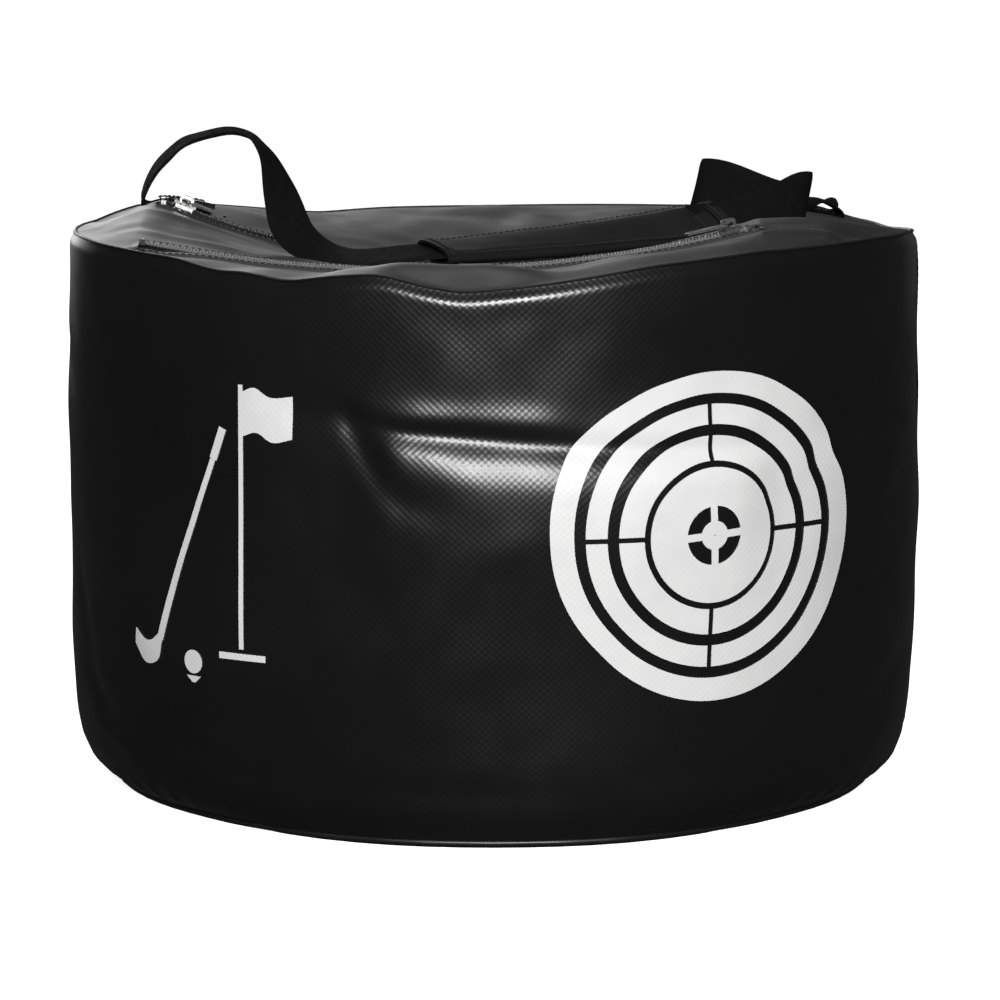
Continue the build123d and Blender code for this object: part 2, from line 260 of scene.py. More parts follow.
def wall_r(az, z):
    """Outer radius of the wall."""
    s = np.radians(az) * DRUM_R
    seam = SEAM_Z(az)
    r = np.interp(z, FINE_Z, FINE_R) - smooth((np.abs(az) - 10) / 42) * np.interp(z, TUCK_Z, TUCK_IN)
    calm = smooth((z - 4) / 26) * smooth((seam - 2 - z) / 26)
    dents = 0.75 * sum_waves(SLOW, az, z) + 0.22 * sum_waves(QUICK, az, z)
    dents = dents + creases(s, z, WALL_CREASES)
    for path, amount, above, below, fade in WALL_FOLDS:
        dents = dents + fold(az, z, path, amount, above, below, fade)
    d, _ = segment(s, z, *CORNER_CREASE)
    dents = dents - CORNER_DEPTH * gauss(d / CORNER_W)
    pucker = PUCKER * np.cos(az * PUCKERS) * gauss((z - seam + 6) / 6.0)
    foot = FOOT_PUCKER * np.cos(az * FOOT_PUCKERS + 2 * np.sin(az / 9)) * gauss((z - 9) / 6.0)
    corner = 2.2 * smooth((z - seam + 7) / 7.5) ** 1.6
    return r + calm * dents + pucker + foot - corner


def wall_point(az, z, out=0.0):
    r = wall_r(az, z) + out
    a = np.radians(az)
    return np.stack([r * np.sin(a), -r * np.cos(a), z + 0 * az], -1)


# ---- mesh tools
SHARP = math.radians(48)  # edges bent by more are shaded sharp


def add_mesh(name, points, faces, uv=None):
    mesh = bpy.data.meshes.new(name)
    mesh.from_pydata((np.asarray(points, float) * MM).tolist(), [], faces)
    if uv is not None:
        layer = mesh.uv_layers.new(name="UVMap")
        index = np.empty(len(mesh.loops), int)
        mesh.loops.foreach_get("vertex_index", index)
        layer.data.foreach_set("uv", (np.asarray(uv, float)[index] * MM).ravel())
    mesh.polygons.foreach_set("use_smooth", [True] * len(mesh.polygons))
    mesh.update()
    mesh.set_sharp_from_angle(angle=SHARP)
    obj = bpy.data.objects.new(name, mesh)
    bpy.context.scene.collection.objects.link(obj)
    return obj


def grid_faces(rows, cols, wrap_rows=False, wrap_cols=False, first=0):
    faces = []
    for i in range(rows if wrap_rows else rows - 1):
        for j in range(cols if wrap_cols else cols - 1):
            a, b = i % rows, (i + 1) % rows
            c, d = j % cols, (j + 1) % cols
            quad = (a * cols + c, b * cols + c, b * cols + d, a * cols + d)
            faces.append(tuple(first + v for v in quad))
    return faces


def shell(name, outer, inner, uv, wrap_rows=False):
    """A closed sheet from two grids (rows, cols, 3) of points, joined round the edges."""
    rows, cols = outer.shape[:2]
    count = rows * cols
    faces = grid_faces(rows, cols, wrap_rows)
    faces += [tuple(count + v for v in reversed(f)) for f in faces]
    for i in range(rows if wrap_rows else rows - 1):
        a, b = i * cols, ((i + 1) % rows) * cols
        faces.append((a, count + a, count + b, b))
        a, b = a + cols - 1, b + cols - 1
        faces.append((b, count + b, count + a, a))
    if not wrap_rows:
        for j in range(cols - 1):
            faces.append((j + 1, count + j + 1, count + j, j))
            a = (rows - 1) * cols + j
            faces.append((a, count + a, count + a + 1, a + 1))
    points = np.concatenate([outer.reshape(-1, 3), inner.reshape(-1, 3)])
    flat = uv.reshape(-1, 2)
    return add_mesh(name, points, faces, np.concatenate([flat, flat]))


def side_vectors(path):
    """Two side directions along a path, carried without twist."""
    along = np.gradient(path, axis=0)
    along /= np.linalg.norm(along, axis=1)[:, None]
    side = np.cross(along[0], (0.0, 0.0, 1.0))
    if np.linalg.norm(side) < 0.1:
        side = np.cross(along[0], (1.0, 0.0, 0.0))
    sides = []
    for t in along:
        side = side - t * side.dot(t)
        side = side / np.linalg.norm(side)
        sides.append(side)
    sides = np.array(sides)
    return sides, np.cross(along, sides)


def tube_points(path, radius, sides, flat=1.0):
    u, v = side_vectors(path)
    ring = np.arange(sides) * math.tau / sides
    radius = np.broadcast_to(radius, len(path))[:, None, None]
    return path[:, None] + radius * (
        u[:, None] * np.cos(ring)[None, :, None] + flat * v[:, None] * np.sin(ring)[None, :, None]
    )


class Pile:
    """Collects many small closed tubes into one mesh."""

    def __init__(self):
        self.points, self.faces, self.uv, self.count = [], [], [], 0

    def tube(self, path, radius, sides=6, closed=False, flat=1.0):
        path = np.asarray(path, float)
        grid = tube_points(path, radius, sides, flat)
        rows = len(path)
        self.faces += grid_faces(rows, sides, closed, True, self.count)
        if not closed:
            self.faces.append(tuple(self.count + j for j in range(sides)))
            last = self.count + (rows - 1) * sides
            self.faces.append(tuple(last + j for j in reversed(range(sides))))
        run = np.concatenate([[0], np.cumsum(np.linalg.norm(np.diff(path, axis=0), axis=1))])
        ring = np.arange(sides) * 2.0 / sides
        self.uv.append(np.stack(np.broadcast_arrays(run[:, None], ring[None]), -1).reshape(-1, 2))
        self.points.append(grid.reshape(-1, 3))
        self.count += rows * sides

    def mesh(self, name):
        return add_mesh(name, np.concatenate(self.points), self.faces, np.concatenate(self.uv))


def resample(path, step):
    path = np.asarray(path, float)
    run = np.concatenate([[0], np.cumsum(np.linalg.norm(np.diff(path, axis=0), axis=1))])
    places = np.linspace(0, run[-1], max(2, int(round(run[-1] / step)) + 1))
    return np.stack([np.interp(places, run, path[:, k]) for k in range(path.shape[1])], 1)


def spline(points, per_span):
    """Catmull-Rom through rows of numbers."""
    p = np.asarray(points, float)
    p = np.concatenate([[2 * p[0] - p[1]], p, [2 * p[-1] - p[-2]]])
    t = np.arange(per_span)[:, None] / per_span
    spans = [
        0.5 * (2 * b + (c - a) * t + (2 * a - 5 * b + 4 * c - d) * t**2
               + (3 * b - a - 3 * c + d) * t**3)
        for a, b, c, d in zip(p[:-3], p[1:-2], p[2:-1], p[3:])
    ]
    return np.concatenate(spans + [p[-2:-1]])


def stitch_row(pile, path, pitch=3.4, radius=0.38, lift=0.15):
    """Separate thread stitches of five points each, which dip into the cloth at both ends."""
    line = resample(path, pitch / 5)
    for start in range(0, len(line) - 5, 5):
        part = line[start : start + 5].copy()
        part[:, 2] += lift * np.array([-1.2, 0.6, 1, 0.6, -1.2])
        pile.tube(part, radius * np.array([0.6, 1, 1.05, 1, 0.6]), 5)


# ---- materials
def noded(slot, colour, rough, **sockets):
    material = bpy.data.materials.new(slot)
    material.use_nodes = True
    bsdf = material.node_tree.nodes["Principled BSDF"]
    bsdf.inputs["Base Color"].default_value = (*colour, 1)
    bsdf.inputs["Roughness"].default_value = rough
    for socket, value in sockets.items():
        bsdf.inputs[socket.replace("_", " ")].default_value = value
    return material


class Nodes:
    def __init__(self, material):
        self.tree = material.node_tree
        self.bsdf = self.tree.nodes["Principled BSDF"]
        self.coords = self.tree.nodes.new("ShaderNodeTexCoord")
        self.split = None

    def add(self, kind, links=(), **values):
        node = self.tree.nodes.new(kind)
        for key, value in values.items():
            setattr(node, key, value)
        for socket, source in links:
            if isinstance(source, bpy.types.NodeSocket):
                self.tree.links.new(source, node.inputs[socket])
            else:
                node.inputs[socket].default_value = source
        return node

    def math(self, operation, a, b=0.0):
        return self.add("ShaderNodeMath", [(0, a), (1, b)], operation=operation).outputs[0]

    def uv(self, axis):
        if self.split is None:
            self.split = self.add("ShaderNodeSeparateXYZ", [(0, self.coords.outputs["UV"])])
        return self.split.outputs[axis]

    def noise(self, scale, detail=3.0, rough=0.5):
        place = self.coords.outputs["Object"]
        node = self.add(
            "ShaderNodeTexNoise",
            [("Vector", place), ("Scale", scale), ("Detail", detail), ("Roughness", rough)],
        )
        return node.outputs["Fac"]

    def spread(self, value, low, high, start=0.3, end=0.7):
        return self.add(
            "ShaderNodeMapRange",
            [("Value", value), ("From Min", start), ("From Max", end), ("To Min", low), ("To Max", high)],
        ).outputs[0]

    def wave(self, axis, pitch_mm):
        """A cosine along a UV axis, given its pitch in millimetres."""
        return self.math("COSINE", self.math("MULTIPLY", self.uv(axis), math.tau * 1000 / pitch_mm))

    def tint(self, value, dark, light):
        mix = self.add("ShaderNodeMix", data_type="RGBA")
        self.tree.links.new(value, mix.inputs[0])
        mix.inputs[6].default_value = (*dark, 1)
        mix.inputs[7].default_value = (*light, 1)
        self.tree.links.new(mix.outputs[2], self.bsdf.inputs["Base Color"])

    def rough(self, value):
        self.tree.links.new(value, self.bsdf.inputs["Roughness"])

    def bump(self, value, depth_mm, strength=1.0, below=None):
        depth = depth_mm * MM
        node = self.add("ShaderNodeBump", [("Height", value), ("Strength", strength), ("Distance", depth)])
        if below is not None:
            self.tree.links.new(below, node.inputs["Normal"])
        self.tree.links.new(node.outputs[0], self.bsdf.inputs["Normal"])
        return node.outputs[0]


def emboss(n, strength, depth=0.10):
    """Diamond lattice pressed into the cloth, with a fine pore grain over it."""
    lattice = n.math("MULTIPLY", n.wave(0, 3.2), n.wave(1, 3.0))
    raised = n.math("ADD", n.math("MULTIPLY", lattice, 0.5), 0.5)
    first = n.bump(raised, depth, strength)
    return n.bump(n.noise(1700, 2.0), 0.02, 0.35, first)


def wall_material():
    m = noded("wall_cloth", (0.004, 0.004, 0.0042), 0.26, Specular_IOR_Level=0.5)
    n = Nodes(m)
    n.tint(n.noise(14), (0.0028, 0.0028, 0.003), (0.0052, 0.0052, 0.0054))
    worn = n.math("ADD", n.math("MULTIPLY", n.noise(9, 4), 0.7), n.math("MULTIPLY", n.noise(70, 3), 0.3))
    n.rough(n.spread(worn, 0.22, 0.33))
    emboss(n, 0.6, 0.09)
    return m


def top_material():
    m = noded("top_cloth", (0.011, 0.011, 0.0115), 0.42, Specular_IOR_Level=0.5)
    n = Nodes(m)
    n.tint(n.noise(11), (0.008, 0.008, 0.0084), (0.015, 0.015, 0.0155))
    n.rough(n.spread(n.noise(30, 4), 0.34, 0.5))
    weave = n.math("MULTIPLY", n.wave(0, 1.1), n.wave(1, 1.1))
    n.bump(n.noise(900, 3.0), 0.02, 0.5, n.bump(weave, 0.012, 0.5))
    return m


def plain_pvc(slot, low, high, grain, shine):
    m = noded(slot, (0.006, 0.006, 0.0063), 0.4, Specular_IOR_Level=shine)
    n = Nodes(m)
    n.tint(n.noise(25), (0.0045, 0.0045, 0.0048), (0.008, 0.008, 0.0083))
    n.rough(n.spread(n.noise(45, 4), low, high))
    n.bump(n.noise(1100, 3.0), grain, 0.6)
    return m


def webbing_material():
    m = noded("webbing", (0.004, 0.004, 0.0042), 0.85, Specular_IOR_Level=0.04)
    n = Nodes(m)
    n.tint(n.noise(160, 3), (0.0028, 0.0028, 0.003), (0.006, 0.006, 0.0063))
    across = n.wave(1, 1.5)
    rib = n.math("MULTIPLY", n.wave(0, 1.15), n.math("SIGN", across))
    cord = n.math("ADD", n.math("MULTIPLY", rib, 0.5), n.math("MULTIPLY", n.math("ABSOLUTE", across), 0.7))
    n.bump(n.noise(2600, 2.0), 0.05, 0.5, n.bump(cord, 0.16, 0.9))
    n.rough(n.spread(n.noise(300, 2), 0.72, 0.92))
    return m


def tape_material():
    m = noded("zip_tape", (0.005, 0.005, 0.005), 0.85, Specular_IOR_Level=0.2)
    n = Nodes(m)
    n.tint(n.noise(220, 2), (0.0035, 0.0035, 0.0035), (0.0075, 0.0075, 0.0075))
    twill = n.math("COSINE", n.math("MULTIPLY", n.math("ADD", n.uv(0), n.uv(1)), math.tau * 1000 / 0.8))
    n.bump(twill, 0.08, 0.8)
    n.rough(n.spread(n.noise(400, 2), 0.7, 0.9))
    return m


def coil_material(name, shade):
    m = noded(name, (shade, shade, shade), 0.25, Specular_IOR_Level=0.8)
    n = Nodes(m)
    n.tint(n.noise(300, 2), (0.8 * shade,) * 3, (1.3 * shade,) * 3)
    n.rough(n.spread(n.noise(900, 2), 0.16, 0.3))
    return m


def metal_material():
    m = noded("zip_metal", (0.5, 0.5, 0.49), 0.3, Metallic=1.0)
    n = Nodes(m)
    n.tint(n.noise(260, 3), (0.4, 0.4, 0.39), (0.6, 0.6, 0.59))
    n.rough(n.spread(n.noise(700, 4, 0.6), 0.24, 0.42))
    n.bump(n.noise(1500, 3), 0.02, 0.4)
    return m


def thread_material():
    m = noded("thread", (0.010, 0.010, 0.0105), 0.65, Specular_IOR_Level=0.3)
    n = Nodes(m)
    n.tint(n.noise(900, 2), (0.007, 0.007, 0.0075), (0.016, 0.016, 0.0165))
    twist = n.math("COSINE", n.math("MULTIPLY", n.math("ADD", n.uv(0), n.uv(1)), math.tau * 1000 / 0.7))
    n.bump(twist, 0.06, 0.8)
    return m


def print_material():
    m = noded("print_white", (0.5, 0.5, 0.5), 0.42, Specular_IOR_Level=0.35)
    n = Nodes(m)
    n.tint(n.noise(60, 4), (0.46, 0.46, 0.46), (0.53, 0.53, 0.527))
    n.rough(n.spread(n.noise(120, 3), 0.34, 0.5))
    emboss(n, 0.55)
    return m


def towel_material():
    m = noded("stuffing", (0.6, 0.58, 0.54), 0.95, Sheen_Weight=0.3)
    n = Nodes(m)
    n.tint(n.noise(40, 4), (0.48, 0.46, 0.42), (0.68, 0.66, 0.61))
    n.bump(n.noise(420, 4, 0.7), 1.2, 0.9)
    return m


def lacquer_material():
    m = noded("zip_lacquer", (0.008, 0.008, 0.008), 0.38, Specular_IOR_Level=0.4)
    n = Nodes(m)
    n.tint(n.noise(260, 3), (0.006, 0.006, 0.006), (0.012, 0.012, 0.012))
    n.rough(n.spread(n.noise(700, 4, 0.6), 0.22, 0.42))
    n.bump(n.noise(1500, 3), 0.02, 0.4)
    return m


LACQUER = lacquer_material()
# The rear zip's coil is a darker copy of the same nylon as the front coil: painted shade for the rear zip's
# dark look.
PAINTED_SHADE_COIL = coil_material("zip_coil_painted_shade", 0.02)
PAINT = {
    "wall_cloth": wall_material(), "top_cloth": top_material(),
    "welt": plain_pvc("welt", 0.28, 0.45, 0.015, 0.4),
    "grip_cloth": plain_pvc("grip_cloth", 0.42, 0.56, 0.025, 0.06),
    # The front coil's base grey of 0.12 is lighter than its black nylon: painted highlight standing in for
    # its lit beads.
    "webbing": webbing_material(), "zip_tape": tape_material(), "zip_coil": coil_material("zip_coil", 0.12),
    "zip_metal": metal_material(), "thread": thread_material(), "print_white": print_material(),
    "stuffing": towel_material(),
}


def dress(obj, slot, body="bag", replaces=()):
    obj.data.materials.clear()
    obj.data.materials.append(PAINT[slot])
    if body:
        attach(obj, body)
    if replaces:
        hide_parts(*replaces)
    return obj


# ---- wall, seams and foot
WALL_LOW = 2.4
share = np.linspace(0, 1, 131)
share = share - 0.05 * np.sin(share * math.tau)  # rows closer together at the foot and the seam
grid_az, grid_share = np.meshgrid(np.linspace(-180, 180, 720, endpoint=False), share, indexing="ij")
grid_z = WALL_LOW + grid_share * (SEAM_Z(grid_az) - WALL_LOW)
outer = wall_point(grid_az, grid_z)
inner = wall_point(grid_az, grid_z, -SHEET)
wall_uv = np.stack([np.radians(grid_az) * DRUM_R, grid_z], -1)
wall = dress(shell("wall", outer, inner, wall_uv, wrap_rows=True), "wall_cloth", replaces=["side_wall"])

ring_az = np.linspace(-180, 180, 540, endpoint=False)
top_ring = Pile()
seam_path = wall_point(ring_az, SEAM_Z(ring_az) - 0.4, -0.2)
seam_path[:, 2] += 0.5
top_ring.tube(seam_path, 0.9, 8, closed=True, flat=0.8)
dress(top_ring.mesh("top_welt_roll"), "welt", replaces=["top_welt"])

foot = Pile()
foot_path = wall_point(ring_az, 2.2 + 0 * ring_az, -0.9)
foot.tube(foot_path, 1.7, 10, closed=True)
dress(foot.mesh("foot_welt_roll"), "welt", replaces=["bottom_welt"])

BASE_R = box_mm("bottom_panel")[1][0] - SHEET
BASE_EASE = 60  # the base follows the foot's outline over this width
rings = np.concatenate([np.linspace(2, BASE_R - 14, 30), np.linspace(BASE_R - 12, BASE_R, 14)])
base_az, base_r = np.meshgrid(np.linspace(-180, 180, 240, endpoint=False), rings, indexing="ij")
base_a = np.radians(base_az)
base_edge = wall_r(base_az, WALL_LOW + 0 * base_az) - 1.4
base_r = base_r * (1 + (base_edge / BASE_R - 1) * smooth((base_r - BASE_R + BASE_EASE) / BASE_EASE))
base_xy = np.stack([base_r * np.sin(base_a), -base_r * np.cos(base_a)], -1)
dip = 0.35 * (1 + sum_waves(TOP_SLOW, base_xy[..., 0] * 0.35, base_xy[..., 1]) / 2)
dip = dip * smooth((BASE_R - 8 - base_r) / 20)
dip = np.clip(dip, 0, 0.8) + 0.35 * gauss((base_r - BASE_R + 7) / 1.2)
under = np.concatenate([base_xy, dip[..., None]], -1)
over = under + np.array([0, 0, SHEET])
base = shell("base_panel", over, under, base_xy, wrap_rows=True)
dress(base, "wall_cloth", replaces=["bottom_panel"])

strip_low, strip_high = box_mm("side_seam_strip")
STRIP_COLS = 14
strip_az = np.degrees(np.arctan2(strip_high[0], -np.linspace(strip_low[1], strip_high[1], STRIP_COLS)))
strip_z = np.linspace(strip_low[2] - 30, SEAM_Z(94.0) - 3, 120)
sa, sz = np.meshgrid(strip_az, strip_z, indexing="ij")
edge = np.minimum(np.arange(STRIP_COLS), np.arange(STRIP_COLS)[::-1])[:, None]
lift = 1.5 * smooth(edge / 1.5) + 0.25 - 0.5 * gauss((edge - 3.0) / 0.8)
strip = shell(
    "wall_seam_strip", wall_point(sa, sz, lift + 0.3 * np.sin(sz / 9)),
    wall_point(sa, sz, -0.2 + 0 * sa), np.stack([np.radians(sa) * DRUM_R, sz], -1),
)
dress(strip, "wall_cloth", replaces=["side_seam_strip"])
threads = Pile()
for az in (strip_az[3], strip_az[-4]):
    stitch_row(threads, wall_point(az + 0 * strip_z, strip_z, 1.5 + 0.3 * np.sin(strip_z / 9)))
dress(threads.mesh("wall_seam_stitches"), "thread")


# ---- top panels: closed sheets, hemmed along the zips and sewn together beyond their ends
CLOSE_BY = TAPE_W - 0.4
HEM_W, HEM_GROOVE, SEAM_GROOVE = 6.5, 0.5, 0.8


def beside_zip(x):
    """1 along a zip's opening, 0 beyond its sewn ends."""
    return smooth((x - ZIP_X[0] + 9) / 6) * smooth((ZIP_X[1] + 9 - x) / 6)


def panel_surface(x, y, edges):
    """Upper side of a panel, with its folded hem along each zip edge."""
    z = skin_z(x, y)
    open_here = beside_zip(x)
    for at, way in edges:
        e = way * (y - at) + (1 - open_here) * CLOSE_BY
        hem = SHEET * smooth((HEM_W - e) / 1.6) - HEM_GROOVE * gauss((e - 5.0) / 0.7)
        z = z + hem * open_here - SEAM_GROOVE * gauss(e / 1.6) * (1 - open_here)
    return z


def spaced(low, high, count, fine=0.75):
    """Places from low to high, closer together at both ends."""
    t = np.linspace(0, 1, count)
    warp = (1 - np.cos(math.pi * t)) / 2
    return low + (high - low) * (t * (1 - fine) + warp * fine)


def panel(name, low_y, high_y, rows, edges, node, flat):
    """One top panel; edges lists (Y of a zip edge, the way the panel lies from it)."""
    ys = spaced(low_y, high_y, rows)
    cols = 240
    t = np.linspace(-1, 1, cols)
    t = t * 0.55 + 0.45 * np.sin(t * math.pi / 2)
    half = np.sqrt(np.maximum(TOP_R**2 - ys**2, 1.0))
    x = t[None, :] * half[:, None]
    y = np.repeat(ys[:, None], cols, 1)
    for at, way in edges:
        y = y - way * (1 - beside_zip(x)) * CLOSE_BY * (1 - smooth(np.abs(y - at) / 34))
    x = t[None, :] * np.sqrt(np.maximum(TOP_R**2 - y**2, 1.0))
    z = panel_surface(x, y, edges)
    upper = np.stack([x, y, z], -1)
    lower = np.stack([x, y, z - SHEET], -1)
    cloth = shell(name, upper, lower, np.stack([x, y], -1))
    dress(cloth, "top_cloth", replaces=[node])
    area = 2 * float(np.sum((half[1:] + half[:-1]) / 2 * np.abs(np.diff(ys)))) * MM**2
    area = min(area, flat[0] * flat[1])


REAR_FAR, REAR_NEAR = (REAR[1] + TAPE_W, 1), (REAR[1] - TAPE_W, -1)
FRONT_FAR, FRONT_NEAR = (FRONT[1] + TAPE_W, 1), (FRONT[1] - TAPE_W, -1)
panel("top_rear_panel", REAR_FAR[0], TOP_R - 0.2, 90, [REAR_FAR], "top_panel_rear", (0.39, 0.15))
panel("top_centre_panel", FRONT_FAR[0], REAR_NEAR[0], 90, [FRONT_FAR, REAR_NEAR],
      "top_panel_centre", (0.396, 0.126))
panel("top_front_panel", -TOP_R + 0.2, FRONT_NEAR[0], 60, [FRONT_NEAR], "top_panel_front", (0.33, 0.085))

hem_threads = Pile()
hem_x = np.linspace(ZIP_X[0] - 4, ZIP_X[1] + 4, 160)
for at, way in (REAR_FAR, REAR_NEAR, FRONT_FAR, FRONT_NEAR):
    hem_y = 0 * hem_x + (at + way * 3.2)
    stitch_row(hem_threads, np.stack([hem_x, hem_y, skin_z(hem_x, hem_y) + SHEET], 1), 3.0, 0.22)
dress(hem_threads.mesh("hem_stitches"), "thread")


# ---- zips
COIL_PITCH, COIL_STEPS, COIL_THREAD = 1.47, 8, 0.44
COIL_LIFT, COIL_MID, COIL_HALF, COIL_TALL = 0.95, 1.35, 1.15, 0.75
TAPE_T, TAPE_OVER, TAPE_PAST = 0.7, 3, 8  # thickness, tucked under the hem, past the coil's ends


def zip_side(arc, side, name, tape_node, coil_node):
    """One tape and one coil; side is 1 for the far one and -1 for the near one."""
    y0 = arc[1]
    across = y0 + side * np.linspace(0.5, TAPE_W + TAPE_OVER, 9)
    t, gy = np.meshgrid(np.linspace(0, 1, 220), across, indexing="ij")
    rim = np.sqrt((TOP_R - 3) ** 2 - gy**2)
    low, high = np.maximum(ZIP_X[0] - TAPE_PAST, -rim), np.minimum(ZIP_X[1] + TAPE_PAST, rim)
    gx = low + (high - low) * t
    z = skin_z(gx, gy) - 0.35 - 0.25 * smooth(np.abs(gy - y0) / 12)
    upper = np.stack([gx, gy, z + 0.25 * gauss((np.abs(gy - y0) - 3.2) / 0.8)], -1)
    tape = shell(f"{name}_tape", upper, upper - np.array([0, 0, TAPE_T]), np.stack([gx, gy], -1))
    if side < 0:
        tape.data.flip_normals()
    dress(tape, "zip_tape", replaces=[tape_node])
    turns = int((ZIP_X[1] - ZIP_X[0]) / COIL_PITCH)
    t = np.arange(turns * COIL_STEPS + 1) / COIL_STEPS
    cx = ZIP_X[0] + t * COIL_PITCH
    turn = t * math.tau
    cy = y0 + side * (COIL_MID + COIL_HALF * np.cos(turn))
    cz = arc_height(arc, cx) + SHEET + COIL_LIFT + COIL_TALL * np.sin(turn)
    coil = Pile()
    coil.tube(np.stack([cx, cy, cz], 1), COIL_THREAD, 5)
    core_x = cx[::COIL_STEPS]
    core_z = arc_height(arc, core_x) + SHEET + 0.9
    coil.tube(np.stack([core_x, core_x * 0 + y0 + side * 1.5, core_z], 1), 0.5, 5)
    teeth = dress(coil.mesh(f"{name}_coil"), "zip_coil", replaces=[coil_node])
    # the rear zip's coil takes the painted-shade copy of the coil colour
    if arc is REAR:
        teeth.data.materials[0] = PAINTED_SHADE_COIL


for zip_name, arc in (("rear_zip", REAR), ("front_zip", FRONT)):
    for side_name, side in (("far", 1), ("near", -1)):
        tape_node, coil_node = (f"{zip_name}_{part}_{side_name}" for part in ("tape", "coil"))
        zip_side(arc, side, f"{zip_name}_{side_name}", tape_node, coil_node)
    for part in ("slider", "pull_tab", "end_stops"):
        node = frame["nodes"][f"{zip_name}_{part}"]
        node.data.materials.clear()
        bright = part != "pull_tab" and zip_name == "rear_zip"
        node.data.materials.append(PAINT["zip_metal"] if bright else LACQUER)


# ---- prints: thin films on the wall
FILM_LIFT = (0.42, 0.12)  # outer and inner face above the wall


def film(name, patches, node):
    """Joins grids of (azimuth, height) points into one thin film over the wall."""
    points, faces, uv, count = [], [], [], 0
    for az, z in patches:
        ring = np.allclose(az[:, 0], az[:, -1]) and np.allclose(z[:, 0], z[:, -1])
        if ring:
            az, z = az[:, :-1], z[:, :-1]
        rows, cols = az.shape
        size = rows * cols
        quads = grid_faces(rows, cols, False, ring)
        faces += [tuple(count + v for v in q) for q in quads]
        faces += [tuple(count + size + v for v in reversed(q)) for q in quads]
        if ring:
            loops = [list(range(cols)), [(rows - 1) * cols + j for j in reversed(range(cols))]]
        else:
            loops = [
                [i * cols for i in range(rows)]
                + [(rows - 1) * cols + j for j in range(1, cols)]
                + [i * cols + cols - 1 for i in range(rows - 2, -1, -1)]
                + list(range(cols - 2, 0, -1))
            ]
        for loop in loops:
            for a, b in zip(loop, loop[1:] + loop[:1]):
                faces.append((count + b, count + a, count + size + a, count + size + b))
        points += [wall_point(az, z, out).reshape(-1, 3) for out in FILM_LIFT]
        uv += [np.stack([np.radians(az) * DRUM_R, z], -1).reshape(-1, 2)] * 2
        count += 2 * size
    obj = add_mesh(name, np.concatenate(points), faces, np.concatenate(uv))
    mesh_clean(obj)
    obj.data.set_sharp_from_angle(angle=SHARP)
    dress(obj, "print_white", replaces=[node])


def mesh_clean(obj):
    """Makes every face of a closed mesh look outwards."""
    bpy.context.view_layer.objects.active = obj
    for other in bpy.context.selected_objects:
        other.select_set(False)
    obj.select_set(True)
    bpy.ops.object.mode_set(mode="EDIT")
    bpy.ops.mesh.select_all(action="SELECT")
    bpy.ops.mesh.normals_make_consistent(inside=False)
    bpy.ops.object.mode_set(mode="OBJECT")
    obj.select_set(False)


target_low, target_high = box_mm("print_target")
TARGET_Z = (target_low[2] + target_high[2]) / 2 - 2.5
TARGET_R = 76.0  # its radius inside; the outline's own radius by direction is WARP
TARGET_AZ = math.degrees(math.asin((target_low[0] + target_high[0]) / 2 / (DRUM_R - 12)))
WARP = around(
    [(4, 84), (-19, 82), (-50, 77), (-95, 75), (-136, 72.5), (-162, 74), (180, 74.7), (161, 76.5), (150, 77),
     (124, 72.4), (104, 71.5), (82, 72.7), (54, 76), (31, 81), (24, 77.5), (14, 82)],
    3.0,
)


def target_place(r, phi):
    """Azimuth and height of a point of the target; r is a share of the outer radius."""
    turn = np.degrees(phi)
    warped = r * (TARGET_R + (WARP(turn) - TARGET_R) * r**1.5)
    return TARGET_AZ + np.degrees(warped * np.cos(phi) / DRUM_R), TARGET_Z + warped * np.sin(phi)


def band(inside, outside, gap):
    """Four quarter bands with gaps of a constant width, or one full ring when gap is 0."""
    patches = []
    r = np.linspace(inside, outside, max(3, int((outside - inside) * 40)))
    pieces = 4 if gap else 1
    for k in range(pieces):
        t = np.linspace(0, 1, 60 if gap else 241)
        trim = np.arcsin(np.clip(gap / 2 / r, 0, 1))
        start, end = trim, math.tau / pieces - trim
        phi = k * math.tau / pieces + start[:, None] + (end - start)[:, None] * t[None]
        patches.append(target_place(np.repeat(r[:, None], len(t), 1), phi))
    return patches


RING_GAP = 0.03
HUB_R, BULL_R = 0.085, 0.175  # the middle dot, and the inside of the innermost ring
SPOKE_TURN, SPOKE_HALF = 0.06, 0.022
target = band(0.858, 1.0, 0) + band(0.662, 0.79, RING_GAP) + band(0.441, 0.593, RING_GAP)
target += band(BULL_R, 0.403, 0) + band(0.004, HUB_R, 0)
for k in range(4):
    middle = k * math.pi / 2 + SPOKE_TURN
    rr = np.linspace(HUB_R, BULL_R, 4)[:, None]
    spread = np.linspace(-1, 1, 5)[None] * np.arcsin(SPOKE_HALF / rr)
    target.append(target_place(rr + 0 * spread, middle + spread))
film("target_rings", target, "print_target")

club_low, club_high = box_mm("print_club")
ICON_AZ = math.degrees(math.asin((club_low[0] + club_high[0]) / 2 / (DRUM_R - 8)))
ICON_Z = (club_low[2] + club_high[2]) / 2 - 5


def icon_patch(left, right, rows=24, cols=7):
    """A patch between two outlines, in millimetres across and up from the icon's middle."""
    a, b = (resample(side, 0.5) for side in (left, right))
    pick = lambda line: line[np.round(np.linspace(0, len(line) - 1, rows)).astype(int)]
    a, b = pick(a), pick(b)
    t = np.linspace(0, 1, cols)[None, :, None]
    p = a[:, None] * (1 - t) + b[:, None] * t
    return ICON_AZ + np.degrees(p[..., 0] / DRUM_R), ICON_Z + p[..., 1]


def icon_disc(x, y, radius):
    r, phi = np.meshgrid(np.linspace(0.02, 1, 6) * radius, np.linspace(0, math.tau, 41), indexing="ij")
    return ICON_AZ + np.degrees((x + r * np.cos(phi)) / DRUM_R), ICON_Z + y + r * np.sin(phi)


